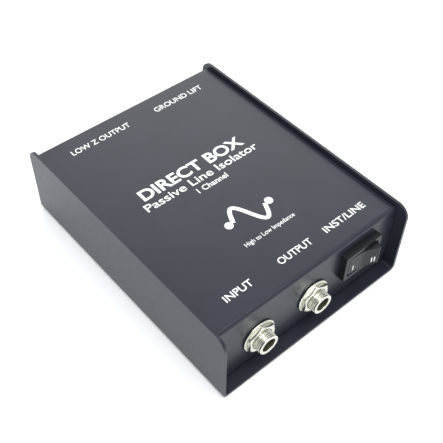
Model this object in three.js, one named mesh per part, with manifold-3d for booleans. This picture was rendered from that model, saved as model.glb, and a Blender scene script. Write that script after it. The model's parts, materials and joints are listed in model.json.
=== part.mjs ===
// A passive direct injection box: a folded steel tray and cover that hold two 1/4 inch jacks,
// a level switch, a ground lift switch, a male XLR and an isolating transformer on a small board.
// Millimetres. +X is right, -Y is the jack panel, +Z is up. The origin is the middle of the underside.
import * as THREE from "three";
import { mergeVertices } from "three/addons/utils/BufferGeometryUtils.js";
import Module from "manifold-3d";

const wasm = await Module();
wasm.setup();

// ---------------------------------------------------------------- driving dimensions

const SEAT = 0.1; // gap between two pieces that are clamped together
const RUN = 0.08; // radial clearance of a pin that turns in a hole
const FIT = 0.15; // radial clearance of a fixed pin in its hole
const PAST = 1; // how far a cutting tool runs past the face it cuts
const WELD = 0.5; // how far two shapes of one piece run into each other before they are joined

const BOX = { width: 100, depth: 131.4, height: 38.4 };
const TRAY = { sheet: 1.3, bend: 2.6, plateCorner: 6 };
const COVER = { sheet: 1.2, bend: 1.8, top: 35.9, front: -60, rear: 62.6, sideGap: 0.3, flange: 14 };
const PANEL_CUT = 3; // half the length of the tools that cut the panel holes

const COVER_SCREW = {
  head: 2.75,
  shank: 1.45,
  length: 6,
  sink: 0.72,
  sinkBelow: 0.5, // where the countersink's cone starts under the box and ends over the sheet
  sinkAbove: 0.07,
  slot: 0.7,
  slotLength: 3.2,
  slotDepth: 0.9,
};
const COVER_SCREW_X = 38; // from the middle to each screw under the box

const JACK = {
  height: 16.4,
  inputX: -27.6,
  outputX: 1.9,
  bushing: 4.75,
  bore: 3.25,
  reach: 6.4,
  washer: 8,
  washerThick: 0.9,
  nutFlats: 12.7,
  nutThick: 1.7,
  plateHalf: 7,
  armDrop: 10.2,
  armLength: 27,
  armHalf: 4,
  lugHalf: 1.4,
  lugReach: 33,
  metal: 1.2,
  plateRadius: 2,
  outerChamfer: 0.3,
  mouthChamfer: 0.2,
};

const SWITCH = {
  long: 21,
  high: 15,
  corner: 0.9,
  proud: 3.2,
  rim: 0.3,
  rimSlope: 0.4,
  bodyLong: 18.6,
  bodyHigh: 12.6,
  holePlayLong: 0.3,
  holePlayHigh: 0.2,
  cavityLong: 17,
  cavityHigh: 11.2,
  depth: 13,
  floor: 1.5,
  pivotOut: 2,
  pivot: 0.8,
  socketDeep: 0.5,
  rockerEnd: 8.1,
  rockerHigh: 10.2,
  kink: 1.5,
  dish: 9.5,
  tilt: 13,
  plungerReach: 9.3,
  plunger: 0.95,
  barTop: -7.5,
  barThick: 0.7,
  barHalf: 6.7,
  barHalfWide: 2.2,
  barEdge: 0.3,
  barTilt: 8,
  fulcrumGap: 0.12,
  contactGap: 0.05,
  bladePitch: 6.5,
  bladeThick: 0.8,
  bladeWide: 4.6,
  bladeEnd: -20,
  bladePlay: 0.12,
  bladeSidePlay: 0.15,
};
const ROCKER = {
  skirtAngle: -22,
  trunnion: 0.8,
  barrelHalf: 2.2,
  barrelTop: -3.1,
  barrelEnd: -5.6,
  boreTop: -3.6,
};
const SNAP_WEDGE = { inset: 0.3, gap: 0.3, long: 3.5, out: 0.8, half: 2.5 };
const BLADE_EYE = { radius: 0.8, up: 2.6, chamfer: 0.8, rise: 1 };
const LEVEL_SWITCH = { x: 27.4, z: 22.5 };
const LIFT_SWITCH = { x: 23, z: 22.5 };

const XLR = {
  x: -20.8,
  z: 18.6,
  flangeShort: 26,
  flangeLong: 31,
  flangeThick: 2,
  flangeCorner: 3,
  barrel: 11.8,
  holePlay: 0.2,
  bore: 9.7,
  depth: 16,
  insertThick: 5,
  pin: 1.2,
  pinFrom: -23,
  pinTo: -0.5,
  screwU: 9.5,
  screwV: 12,
};
const XLR_SCREW = {
  head: 2.9,
  shank: 1.45,
  hole: 1.6,
  length: 7,
  sink: 1.5,
  slot: 0.7,
  slotLength: 3.4,
  slotFrom: 1.3,
  below: 0.05,
};
const XLR_NUT = { flats: 5.5, thick: 2.4 };
const XLR_KEY = { half: 1.3, in: 1.1, out: 0.4, gap: 0.3, top: 1 };
const XLR_BOSS = { radius: 7, out: 2 };
const SOLDER_CUP = { bore: 0.8, deep: 2.5, open: 2, openFrom: 0.2 };
const XLR_PINS = [
  [-3.8, 2],
  [3.8, 2],
  [0, -4.3],
];

const BOARD = {
  half: 28,
  front: -16,
  rear: 28,
  thick: 1.6,
  bottom: 6.5,
  corner: 2,
  screwHole: 1.6,
  leadHole: 0.45,
};
const LEAD_OUT = 1; // how far a lead stands out under the board
const BOARD_TOP = BOARD.bottom + BOARD.thick;
const POST = { flats: 5.5, shank: 2.05, bore: 1.3, boreFrom: 2, x: 24, front: -12, rear: 24 };
const BOARD_SCREW = {
  from: 3,
  shank: 1.2,
  head: 2.75,
  domeTop: 1.9,
  side: 1.2,
  shoulder: 1.9,
  crown: 2.1,
  slotHalf: 0.35,
  slotReach: 1.6,
  slotFrom: 1,
};
const CORE = {
  x: 0,
  y: 6,
  wide: 26,
  tall: 22,
  stack: 11,
  leg: 8.8,
  window: 4.4,
  windowTall: 13.5,
  corner: 0.4,
};
const CORE_LOW = BOARD_TOP + 0.4; // the core stands just clear of the board

// ---------------------------------------------------------------- finishes

const FINISH = {
  powderCoat: { color: 0x3b3b40, roughness: 0.5, metalness: 0.1 },
  blackScrew: { color: 0x1c1c1e, roughness: 0.45, metalness: 0.7 },
  nickel: { color: 0xd9d8ce, roughness: 0.22, metalness: 1 },
  brass: { color: 0xc7a24e, roughness: 0.35, metalness: 1 },
  spring: { color: 0xb9a77c, roughness: 0.3, metalness: 1 },
  blackNylon: { color: 0x2b2c30, roughness: 0.42, metalness: 0 },
  fibre: { color: 0x6b4a2f, roughness: 0.7, metalness: 0 },
  board: { color: 0x1f5b37, roughness: 0.45, metalness: 0 },
  iron: { color: 0x55565a, roughness: 0.5, metalness: 0.8 },
  varnishedCopper: { color: 0x9b4a22, roughness: 0.35, metalness: 0.6 },
  zinc: { color: 0xb4b6b8, roughness: 0.35, metalness: 1 },
  resistor: { color: 0x6f9db8, roughness: 0.5, metalness: 0 },
  film: { color: 0x9c2f22, roughness: 0.4, metalness: 0 },
};

// ---------------------------------------------------------------- solids

// A closed geometry as a solid that can be joined and cut.
function solid(geometry) {
  const bare = geometry.index ? geometry.toNonIndexed() : geometry.clone();
  bare.deleteAttribute("normal");
  bare.deleteAttribute("uv");
  const merged = mergeVertices(bare, 1e-4);
  const vertProperties = merged.attributes.position.array;
  const triVerts = new Uint32Array(merged.index.array);
  return new wasm.Manifold(new wasm.Mesh({ numProp: 3, vertProperties, triVerts }));
}

// A solid as a geometry again.
function geometryOf(made) {
  const mesh = made.getMesh();
  const geometry = new THREE.BufferGeometry();
  geometry.setAttribute("position", new THREE.BufferAttribute(mesh.vertProperties, 3));
  geometry.setIndex(new THREE.BufferAttribute(mesh.triVerts, 1));
  geometry.computeVertexNormals();
  return geometry;
}

function join(...pieces) {
  return geometryOf(pieces.map(solid).reduce((whole, piece) => whole.add(piece)));
}

function cut(piece, ...tools) {
  return geometryOf(tools.map(solid).reduce((left, tool) => left.subtract(tool), solid(piece)));
}

function common(a, b) {
  return geometryOf(solid(a).intersect(solid(b)));
}

function block(x0, x1, y0, y1, z0, z1) {
  const geometry = new THREE.BoxGeometry(x1 - x0, y1 - y0, z1 - z0);
  return geometry.translate((x0 + x1) / 2, (y0 + y1) / 2, (z0 + z1) / 2);
}

// A round bar along Z.
function rod(radius, z0, z1, x = 0, y = 0, sides = 24) {
  const geometry = new THREE.CylinderGeometry(radius, radius, z1 - z0, sides);
  return geometry.rotateX(Math.PI / 2).translate(x, y, (z0 + z1) / 2);
}

// A round bar along Y.
function crossRod(radius, y0, y1, x, z, sides = 20) {
  const geometry = new THREE.CylinderGeometry(radius, radius, y1 - y0, sides);
  return geometry.translate(x, (y0 + y1) / 2, z);
}

// A six-sided bar along Z, measured across its flats.
function hexBar(flats, z0, z1, x = 0, y = 0) {
  return rod(flats / Math.sqrt(3), z0, z1, x, y, 6);
}

// A shape turned about Z from [radius, z] points that run from the lower end to the upper one.
function turned(profile, sides = 32) {
  const points = profile.map(([radius, z]) => new THREE.Vector2(radius, z));
  return new THREE.LatheGeometry(points, sides).rotateX(Math.PI / 2);
}

function polygon(points) {
  return new THREE.Shape(points.map(([u, v]) => new THREE.Vector2(u, v)));
}

// A rectangle whose corners are rounded, in the order low left, low right, top right, top left.
function roundedRectangle(u0, u1, v0, v1, radii) {
  const [a, b, c, d] = Array.isArray(radii) ? radii : [radii, radii, radii, radii];
  const shape = new THREE.Shape();
  shape.moveTo(u0 + a, v0);
  shape.lineTo(u1 - b, v0);
  if (b) shape.absarc(u1 - b, v0 + b, b, -Math.PI / 2, 0);
  shape.lineTo(u1, v1 - c);
  if (c) shape.absarc(u1 - c, v1 - c, c, 0, Math.PI / 2);
  shape.lineTo(u0 + d, v1);
  if (d) shape.absarc(u0 + d, v1 - d, d, Math.PI / 2, Math.PI);
  shape.lineTo(u0, v0 + a);
  if (a) shape.absarc(u0 + a, v0 + a, a, Math.PI, 1.5 * Math.PI);
  return shape;
}

function extruded(shape, depth, curveSegments) {
  return new THREE.ExtrudeGeometry(shape, { depth, curveSegments, bevelEnabled: false });
}

const AXIS_X = new THREE.Vector3(1, 0, 0);
const AXIS_Y = new THREE.Vector3(0, 1, 0);
const AXIS_Z = new THREE.Vector3(0, 0, 1);

// Extrusions of a (y, z), an (x, z) and an (x, y) shape.
function alongX(shape, x0, x1, curveSegments = 6) {
  const turn = new THREE.Matrix4().makeBasis(AXIS_Y, AXIS_Z, AXIS_X);
  return extruded(shape, x1 - x0, curveSegments).applyMatrix4(turn).translate(x0, 0, 0);
}

function alongY(shape, y0, y1, curveSegments = 6) {
  const turn = new THREE.Matrix4().makeBasis(AXIS_X, AXIS_Z, AXIS_Y.clone().negate());
  return extruded(shape, y1 - y0, curveSegments).applyMatrix4(turn).translate(0, y1, 0);
}

function alongZ(shape, z0, z1, curveSegments = 6) {
  return extruded(shape, z1 - z0, curveSegments).translate(0, 0, z0);
}

function part(name, geometry, finish) {
  const mesh = new THREE.Mesh(geometry, new THREE.MeshStandardMaterial(finish));
  mesh.name = name;
  return mesh;
}

function groupOf(...children) {
  const group = new THREE.Group();
  group.add(...children);
  return group;
}

// A group whose +Z points out of the front panel, with its origin on the panel's outer face.
function onFrontPanel(x, z, ...children) {
  const group = groupOf(...children);
  group.position.set(x, COVER.front, z);
  group.rotation.x = Math.PI / 2;
  return group;
}

// The same on the rear panel, where the group's +X points to the box's left.
function onRearPanel(x, z, ...children) {
  const inner = groupOf(...children);
  inner.rotation.x = Math.PI / 2;
  const group = groupOf(inner);
  group.position.set(x, COVER.rear, z);
  group.rotation.z = Math.PI;
  return group;
}

// ---------------------------------------------------------------- casing

const FLANGE_SCREW_Y = [COVER.front + COVER.flange / 2, COVER.rear - COVER.flange / 2];
const COVER_SCREW_PLACES = FLANGE_SCREW_Y.flatMap((y) => [-1, 1].map((side) => [side * COVER_SCREW_X, y]));
const POST_PLACES = [POST.front, POST.rear].flatMap((y) => [-1, 1].map((side) => [side * POST.x, y]));

// The outer U: a floor and two side plates whose upper corners are rounded.
function baseTray() {
  const half = BOX.width / 2;
  const inner = half - TRAY.sheet;
  const above = 2 * BOX.height;
  const section = roundedRectangle(-half, half, 0, above, [TRAY.bend, TRAY.bend, 0, 0]);
  const innerBend = TRAY.bend - TRAY.sheet;
  const hollow = roundedRectangle(-inner, inner, TRAY.sheet, above + PAST, [innerBend, innerBend, 0, 0]);
  const side = BOX.depth / 2;
  const corner = TRAY.plateCorner;
  const outline = roundedRectangle(-side, side, -PAST, BOX.height, [0, 0, corner, corner]);
  const channel = cut(alongY(section, -side, side), alongY(hollow, -side - PAST, side + PAST));
  const tray = common(channel, alongX(outline, -half - PAST, half + PAST, 8));
  const sink = [
    [0, -COVER_SCREW.sinkBelow],
    [COVER_SCREW.head + COVER_SCREW.sink, -COVER_SCREW.sinkBelow],
    [COVER_SCREW.shank + FIT, TRAY.sheet + COVER_SCREW.sinkAbove],
    [COVER_SCREW.shank + FIT, TRAY.sheet + PAST],
    [0, TRAY.sheet + PAST],
  ];
  const sinks = COVER_SCREW_PLACES.map(([x, y]) => turned(sink, 20).translate(x, y, 0));
  const postHoles = POST_PLACES.map(([x, y]) => rod(POST.shank + FIT, -PAST, TRAY.sheet + PAST, x, y, 20));
  return cut(tray, ...sinks, ...postHoles);
}

// The inner U: a top with a front and a rear panel, and a flange under each panel for the screws.
function topCover() {
  const half = BOX.width / 2 - TRAY.sheet - COVER.sideGap;
  const low = TRAY.sheet + SEAT;
  const t = COVER.sheet;
  const outer = roundedRectangle(COVER.front, COVER.rear, low, COVER.top, COVER.bend);
  const inner = roundedRectangle(COVER.front + t, COVER.rear - t, low + t, COVER.top - t, COVER.bend - t);
  const shell = cut(alongX(outer, -half, half), alongX(inner, -half - PAST, half + PAST));
  const [mouthFront, mouthRear] = [COVER.front + COVER.flange, COVER.rear - COVER.flange];
  const mouth = block(-half - PAST, half + PAST, mouthFront, mouthRear, 0, low + t + PAST);
  const screwHoles = COVER_SCREW_PLACES.map(([x, y]) => {
    return rod(COVER_SCREW.shank + FIT, 0, low + t + PAST, x, y, 20);
  });
  // The lower corners stop short of the tray's bends.
  const clear = half + COVER.sideGap - (TRAY.bend - TRAY.sheet) - 2 * SEAT;
  const notches = [-1, 1].map((side) => {
    const [x0, x1] = side > 0 ? [clear, half + PAST] : [-half - PAST, -clear];
    return block(x0, x1, COVER.front - PAST, COVER.rear + PAST, 0, TRAY.bend + SEAT);
  });
  return cut(shell, mouth, ...notches, ...screwHoles, ...frontPanelHoles(), ...rearPanelHoles());
}

function switchHole(place, y) {
  const long = SWITCH.bodyLong / 2 + SWITCH.holePlayLong;
  const high = SWITCH.bodyHigh / 2 + SWITCH.holePlayHigh;
  return block(place.x - long, place.x + long, y - PANEL_CUT, y + PANEL_CUT, place.z - high, place.z + high);
}

function frontPanelHoles() {
  const jackHoles = [JACK.inputX, JACK.outputX].map((x) => {
    const [y0, y1] = [COVER.front - PANEL_CUT, COVER.front + PANEL_CUT];
    return crossRod(JACK.bushing + FIT, y0, y1, x, JACK.height, 32);
  });
  return [...jackHoles, switchHole(LEVEL_SWITCH, COVER.front)];
}

function rearPanelHoles() {
  const [y0, y1] = [COVER.rear - PANEL_CUT, COVER.rear + PANEL_CUT];
  const barrelHole = crossRod(XLR.barrel + XLR.holePlay, y0, y1, XLR.x, XLR.z, 40);
  const screwHoles = [-1, 1].map((end) => {
    return crossRod(XLR_SCREW.hole + SEAT, y0, y1, XLR.x - end * XLR.screwV, XLR.z + end * XLR.screwU, 16);
  });
  return [barrelHole, ...screwHoles, switchHole(LIFT_SWITCH, COVER.rear)];
}

// The cutting tools of a cross-shaped driver slot between two heights.
function crossRecess(long, wide, z0, z1) {
  const [halfLong, halfWide] = [long / 2, wide / 2];
  return [
    block(-halfLong, halfLong, -halfWide, halfWide, z0, z1),
    block(-halfWide, halfWide, -halfLong, halfLong, z0, z1),
  ];
}

// A countersunk cross-head screw, head down, flush with the underside.
function coverScrew() {
  const { head, shank, length, slot, slotLength, slotDepth } = COVER_SCREW;
  const profile = [
    [0, SEAT],
    [head, SEAT],
    [shank, SEAT + head - shank],
    [shank, SEAT + length],
    [0, SEAT + length],
  ];
  return cut(turned(profile, 20), ...crossRecess(slotLength, slot, -PAST, slotDepth));
}

function casing() {
  const screws = COVER_SCREW_PLACES.map(([x, y], i) => {
    const screw = part(`cover_screw_${i + 1}`, coverScrew(), FINISH.blackScrew);
    screw.position.set(x, y, 0);
    return screw;
  });
  const tray = part("base_tray", baseTray(), FINISH.powderCoat);
  return groupOf(tray, part("top_cover", topCover(), FINISH.powderCoat), ...screws);
}

// ---------------------------------------------------------------- quarter inch jack

const JACK_PLATE_Z = -COVER.sheet - SEAT; // the outer face of the frame's plate, behind the panel

// The threaded bushing and the bent frame that carries the springs, which is also the sleeve contact.
function jackFrame() {
  const { bushing, bore, reach, outerChamfer, mouthChamfer } = JACK;
  const { plateHalf, plateRadius, armDrop, armLength, armHalf, metal, lugHalf, lugReach } = JACK;
  const back = JACK_PLATE_Z - metal;
  const tube = turned(
    [
      [bore, back],
      [bushing, back],
      [bushing, reach - outerChamfer],
      [bushing - outerChamfer, reach],
      [bore + mouthChamfer, reach],
      [bore, reach - mouthChamfer],
      [bore, back],
    ],
    32,
  );
  const corners = [0, 0, plateRadius, plateRadius];
  const plateOutline = roundedRectangle(-plateHalf, plateHalf, -armDrop, plateHalf, corners);
  const plateHole = rod(bushing - WELD, back - PAST, PAST, 0, 0, 32);
  const plate = cut(alongZ(plateOutline, back, JACK_PLATE_Z, 4), plateHole);
  const arm = block(-armHalf, armHalf, -armDrop, -armDrop + metal, -armLength, JACK_PLATE_Z);
  const lug = block(-lugHalf, lugHalf, -armDrop, -armDrop + metal / 2, -lugReach, -armLength + WELD);
  return join(tube, plate, arm, lug);
}

function jackWasher() {
  const { bushing, washer, washerThick } = JACK;
  const ring = rod(washer, SEAT, SEAT + washerThick, 0, 0, 40);
  return cut(ring, rod(bushing + FIT, -PAST, SEAT + washerThick + PAST, 0, 0, 32));
}

function jackNut() {
  const { bushing, washerThick, nutFlats, nutThick } = JACK;
  const z0 = 2 * SEAT + washerThick;
  return cut(hexBar(nutFlats, z0, z0 + nutThick), rod(bushing + FIT, 0, z0 + nutThick + PAST, 0, 0, 32));
}

const STACK = { from: -27, to: -20.5, insulatorTop: -5.3, edge: 0.4 };
const TIP_SPRING = {
  leaf: 0.5,
  half: 1.8,
  flatPast: 1, // how far the flat runs past the insulator before the leaf rises
  bump: [
    [-2.9, -17.6],
    [-2.9, -16.4],
    [-4.6, -13.6],
  ],
};

// The fibre block that holds the tip spring off the frame.
function jackInsulator() {
  const low = -JACK.armDrop + JACK.metal + SEAT;
  const outline = roundedRectangle(low, STACK.insulatorTop, STACK.from, STACK.to, STACK.edge);
  return alongX(outline, -JACK.armHalf, JACK.armHalf, 3);
}

// The tip contact: a solder tail, a flat under the clamp and a bump that meets the plug's tip.
function jackTipSpring() {
  const { leaf, half, flatPast, bump } = TIP_SPRING;
  const low = STACK.insulatorTop + SEAT;
  const lower = [[low, -JACK.lugReach - flatPast], [low, STACK.to + flatPast], ...bump];
  const upper = lower.map(([y, z]) => [y + leaf, z]).reverse();
  return alongX(polygon([...lower, ...upper]), -half, half);
}

function jack(name, x) {
  return onFrontPanel(
    x,
    JACK.height,
    part(`${name}_frame`, jackFrame(), FINISH.nickel),
    part(`${name}_washer`, jackWasher(), FINISH.nickel),
    part(`${name}_nut`, jackNut(), FINISH.nickel),
    part(`${name}_insulator`, jackInsulator(), FINISH.fibre),
    part(`${name}_tip_spring`, jackTipSpring(), FINISH.spring),
  );
}

// ---------------------------------------------------------------- rocker switch

// The bezel, the box behind it and the two wedges that snap behind the panel.
function switchHousing(blades) {
  const s = SWITCH;
  const face = roundedRectangle(-s.long / 2, s.long / 2, -s.high / 2, s.high / 2, s.corner);
  const bevel = { bevelSize: s.rim, bevelOffset: -s.rim, bevelThickness: s.rimSlope, bevelSegments: 1 };
  const lens = new THREE.ExtrudeGeometry(face, { depth: s.proud, curveSegments: 3, ...bevel });
  lens.translate(0, 0, -s.rimSlope);
  const bezel = common(lens, block(-s.long, s.long, -s.high, s.high, SEAT, s.proud));
  const [bodyX, bodyY] = [s.bodyLong / 2, s.bodyHigh / 2];
  const body = block(-bodyX, bodyX, -bodyY, bodyY, -s.depth, SEAT + WELD);
  const [hollowX, hollowY] = [s.cavityLong / 2, s.cavityHigh / 2];
  const hollow = block(-hollowX, hollowX, -hollowY, hollowY, -s.depth + s.floor, s.proud + PAST);
  const { inset, gap, long, out, half } = SNAP_WEDGE;
  const behind = -COVER.sheet - gap;
  const wedges = [-1, 1].map((end) => {
    const x = end * (bodyX - inset);
    const points = [[x, behind - long], [end * (bodyX + out), behind], [x, behind]];
    return alongY(polygon(end > 0 ? points : points.reverse()), -half, half);
  });
  const socketReach = hollowY + s.socketDeep;
  const sockets = crossRod(s.pivot + RUN, -socketReach, socketReach, 0, s.pivotOut);
  const slots = blades.map((x) => {
    const thick = s.bladeThick / 2 + s.bladePlay;
    const wide = s.bladeWide / 2 + s.bladeSidePlay;
    return block(x - thick, x + thick, -wide, wide, -s.depth - PAST, -s.depth + s.floor + PAST);
  });
  return cut(join(bezel, body, ...wedges), hollow, sockets, ...slots);
}

// The dished rocker about its own pivot, with trunnions and the barrel for its plunger.
function switchRocker() {
  const s = SWITCH;
  const half = s.rockerHigh / 2;
  const dish = THREE.MathUtils.degToRad(s.dish);
  // The angle at which the dished face meets the arc of the rocker's end.
  const lip = dish + Math.asin((s.kink * Math.cos(dish)) / s.rockerEnd);
  const skirt = THREE.MathUtils.degToRad(ROCKER.skirtAngle);
  const { barrelHalf, barrelTop, barrelEnd, boreTop, trunnion } = ROCKER;
  const shape = new THREE.Shape();
  shape.moveTo(0, s.kink);
  shape.lineTo(-s.rockerEnd * Math.cos(lip), s.rockerEnd * Math.sin(lip));
  shape.absarc(0, 0, s.rockerEnd, Math.PI - lip, Math.PI - skirt);
  shape.lineTo(-barrelHalf, barrelTop);
  shape.lineTo(-barrelHalf, barrelEnd);
  shape.lineTo(barrelHalf, barrelEnd);
  shape.lineTo(barrelHalf, barrelTop);
  shape.absarc(0, 0, s.rockerEnd, skirt, lip);
  const paddle = alongY(shape, -half, half, 5);
  const trunnions = crossRod(s.pivot, -half - trunnion, half + trunnion, 0, 0);
  return cut(join(paddle, trunnions), rod(s.plunger + FIT, barrelEnd - PAST, boreTop, 0, 0, 16));
}

function switchPlunger() {
  const { plunger, plungerReach } = SWITCH;
  const tip = [0, 30, 60, 90].map((degrees) => {
    const angle = THREE.MathUtils.degToRad(degrees);
    return [plunger * Math.sin(angle), -plungerReach + plunger * (1 - Math.cos(angle))];
  });
  const top = ROCKER.boreTop - 2 * SEAT;
  return turned([...tip, [plunger, top], [0, top]], 16);
}

// The tilting contact, about its own middle.
function switchContactBar() {
  const { barHalf, barHalfWide, barThick, barEdge } = SWITCH;
  const half = barThick / 2;
  return alongY(roundedRectangle(-barHalf, barHalf, -half, half, barEdge), -barHalfWide, barHalfWide, 3);
}

// A blade terminal: its inner end is the fulcrum or a fixed contact, its outer end has an eye.
function switchBlade(x, top) {
  const { bladeThick, bladeWide, bladeEnd } = SWITCH;
  const { radius, up, chamfer, rise } = BLADE_EYE;
  const half = bladeWide / 2;
  const outline = polygon([
    [-half, bladeEnd + rise],
    [-half + chamfer, bladeEnd],
    [half - chamfer, bladeEnd],
    [half, bladeEnd + rise],
    [half, top],
    [-half, top],
  ]);
  const blade = alongX(outline, x - bladeThick / 2, x + bladeThick / 2);
  const eye = rod(radius, x - 2 * PAST, x + 2 * PAST, 0, 0, 12).rotateY(Math.PI / 2);
  return cut(blade, eye.translate(0, 0, bladeEnd + up));
}

const BAR_MIDDLE = SWITCH.barTop - SWITCH.barThick / 2;

function rockerSwitch(name, blades) {
  const s = SWITCH;
  const rocker = groupOf(
    part(`${name}_rocker`, switchRocker(), FINISH.blackNylon),
    part(`${name}_plunger`, switchPlunger(), FINISH.zinc),
  );
  rocker.position.z = s.pivotOut;
  rocker.rotation.y = -THREE.MathUtils.degToRad(s.tilt); // the rocker's left end is pressed in
  const bar = part(`${name}_contact_bar`, switchContactBar(), FINISH.brass);
  bar.position.z = BAR_MIDDLE;
  bar.rotation.y = THREE.MathUtils.degToRad(s.barTilt);
  const fulcrumTop = BAR_MIDDLE - s.barThick / 2 - s.fulcrumGap;
  const drop = s.barHalf * Math.sin(THREE.MathUtils.degToRad(s.barTilt));
  const fixedTop = fulcrumTop - drop - s.contactGap;
  const terminals = blades.map((x, i) => {
    return part(`${name}_terminal_${i + 1}`, switchBlade(x, x ? fixedTop : fulcrumTop), FINISH.brass);
  });
  const housing = part(`${name}_housing`, switchHousing(blades), FINISH.blackNylon);
  return [housing, rocker, bar, ...terminals];
}

// ---------------------------------------------------------------- male XLR

const XLR_SCREW_PLACES = [-1, 1].map((end) => [end * XLR.screwU, -end * XLR.screwV]);

function xlrShell() {
  const { flangeThick, flangeCorner, barrel, bore, depth } = XLR;
  const [short, long] = [XLR.flangeShort / 2, XLR.flangeLong / 2];
  const outline = roundedRectangle(-short, short, -long, long, flangeCorner);
  const flange = alongZ(outline, SEAT, SEAT + flangeThick, 4);
  const tube = rod(barrel, -depth, SEAT + WELD, 0, 0, 40);
  const sinks = XLR_SCREW_PLACES.map(([u, v]) => {
    const front = SEAT + flangeThick;
    const { hole, sink } = XLR_SCREW;
    const profile = [
      [0, -PAST],
      [hole, -PAST],
      [hole, front - sink],
      [hole + sink + PAST / 2, front + PAST / 2],
      [0, front + PAST / 2],
    ];
    return turned(profile, 20).translate(u, v, 0);
  });
  const keyLow = -depth + XLR.insertThick + XLR_KEY.gap;
  const key = block(-XLR_KEY.half, XLR_KEY.half, bore - XLR_KEY.in, bore + XLR_KEY.out, keyLow, XLR_KEY.top);
  const mouth = rod(bore, -depth - PAST, SEAT + flangeThick + PAST, 0, 0, 40);
  return join(cut(join(flange, tube), mouth, ...sinks), key);
}

function xlrInsert() {
  const { bore, depth, insertThick, pin } = XLR;
  const disc = rod(bore - FIT, -depth, -depth + insertThick, 0, 0, 40);
  const back = -depth - XLR_BOSS.out;
  const boss = rod(XLR_BOSS.radius, back, -depth + WELD, 0, 0, 32);
  return cut(join(disc, boss), ...XLR_PINS.map(([u, v]) => rod(pin + RUN, back - PAST, 0, u, v, 16)));
}

// A round-nosed pin with a solder cup at its back.
function xlrPin() {
  const { pin, pinFrom, pinTo } = XLR;
  const nose = [90, 60, 30, 0].map((degrees) => {
    const angle = THREE.MathUtils.degToRad(degrees);
    return [pin * Math.sin(angle), pinTo - pin + pin * Math.cos(angle)];
  });
  const body = turned([[0, pinFrom], [pin, pinFrom], ...nose], 16);
  const { deep, open, openFrom } = SOLDER_CUP;
  const cup = rod(SOLDER_CUP.bore, pinFrom - PAST, pinFrom + deep, 0, 0, 12);
  const wide = pin + PAST;
  const opening = block(openFrom, wide, -wide, wide, pinFrom - PAST, pinFrom + open);
  return cut(body, cup, opening);
}

function xlrScrew() {
  const { head, shank, length, slot, slotLength, slotFrom } = XLR_SCREW;
  const front = SEAT + XLR.flangeThick - XLR_SCREW.below;
  const profile = [
    [0, -length],
    [shank, -length],
    [shank, front - (head - shank)],
    [head, front],
    [0, front],
  ];
  return cut(turned(profile, 20), ...crossRecess(slotLength, slot, slotFrom, front + PAST));
}

function xlrNut() {
  const back = -COVER.sheet - SEAT;
  const { flats, thick } = XLR_NUT;
  return cut(hexBar(flats, back - thick, back), rod(XLR_SCREW.hole, back - thick - PAST, 0, 0, 0, 20));
}

function xlrSocket() {
  const pins = XLR_PINS.map(([u, v], i) => {
    const pin = part(`xlr_pin_${i + 1}`, xlrPin(), FINISH.nickel);
    pin.position.set(u, v, 0);
    return pin;
  });
  const fixings = XLR_SCREW_PLACES.flatMap(([u, v], i) => {
    const screw = part(`xlr_screw_${i + 1}`, xlrScrew(), FINISH.blackScrew);
    const nut = part(`xlr_nut_${i + 1}`, xlrNut(), FINISH.zinc);
    screw.position.set(u, v, 0);
    nut.position.set(u, v, 0);
    return [screw, nut];
  });
  const shell = part("xlr_shell", xlrShell(), FINISH.nickel);
  const socket = groupOf(shell, part("xlr_insert", xlrInsert(), FINISH.blackNylon), ...pins, ...fixings);
  socket.rotation.z = Math.PI / 2; // the flange lies on its side
  return socket;
}

// ---------------------------------------------------------------- board and transformer

const RESISTORS = [
  { name: "pad_resistor_1", x: -20.5, y: -4 },
  { name: "pad_resistor_2", x: -20.5, y: 2 },
];
const RESISTOR = {
  radius: 1.25,
  waist: 1.025,
  cap: 1.4, // the thick end of the body, and where the waist starts
  taper: 2,
  length: 6.5,
  lift: 1.7,
  span: 10,
  lead: 0.3,
};
const CAPACITOR = { x: 20, y: 4, wide: 7.2, deep: 3, tall: 7, pitch: 5, lead: 0.3, lift: 0.3, corner: 0.6 };
const STRAP = { thick: 0.8, wide: 8, tab: 3, tabOut: 1.2, slotHalf: 0.6, slotLong: 1.8, lap: 0.2 };
const STRAP_X = CORE.wide / 2 + FIT;

function circuitBoard() {
  const { half, front, rear, bottom, corner, screwHole, leadHole } = BOARD;
  const plate = alongZ(roundedRectangle(-half, half, front, rear, corner), bottom, BOARD_TOP, 4);
  const [z0, z1] = [bottom - PAST, BOARD_TOP + PAST];
  const postHoles = POST_PLACES.map(([x, y]) => rod(screwHole, z0, z1, x, y, 16));
  const resistorHoles = RESISTORS.flatMap(({ x, y }) => {
    return [-1, 1].map((end) => rod(leadHole, z0, z1, x + (end * RESISTOR.span) / 2, y, 8));
  });
  const capacitorHoles = [-1, 1].map((end) => {
    return rod(leadHole, z0, z1, CAPACITOR.x + (end * CAPACITOR.pitch) / 2, CAPACITOR.y, 8);
  });
  const { slotHalf, slotLong } = STRAP;
  const slots = [-1, 1].map((side) => {
    const middle = CORE.x + side * (STRAP_X + STRAP.thick / 2);
    return block(middle - slotHalf, middle + slotHalf, CORE.y - slotLong, CORE.y + slotLong, z0, z1);
  });
  return cut(plate, ...postHoles, ...resistorHoles, ...capacitorHoles, ...slots);
}

// A self-clinching hexagonal post with a blind thread.
function boardPost() {
  const top = BOARD.bottom - SEAT;
  const stem = hexBar(POST.flats, TRAY.sheet + SEAT, top);
  const foot = rod(POST.shank, SEAT, TRAY.sheet + WELD, 0, 0, 20);
  return cut(join(stem, foot), rod(POST.bore, POST.boreFrom, top + PAST, 0, 0, 16));
}

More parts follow.
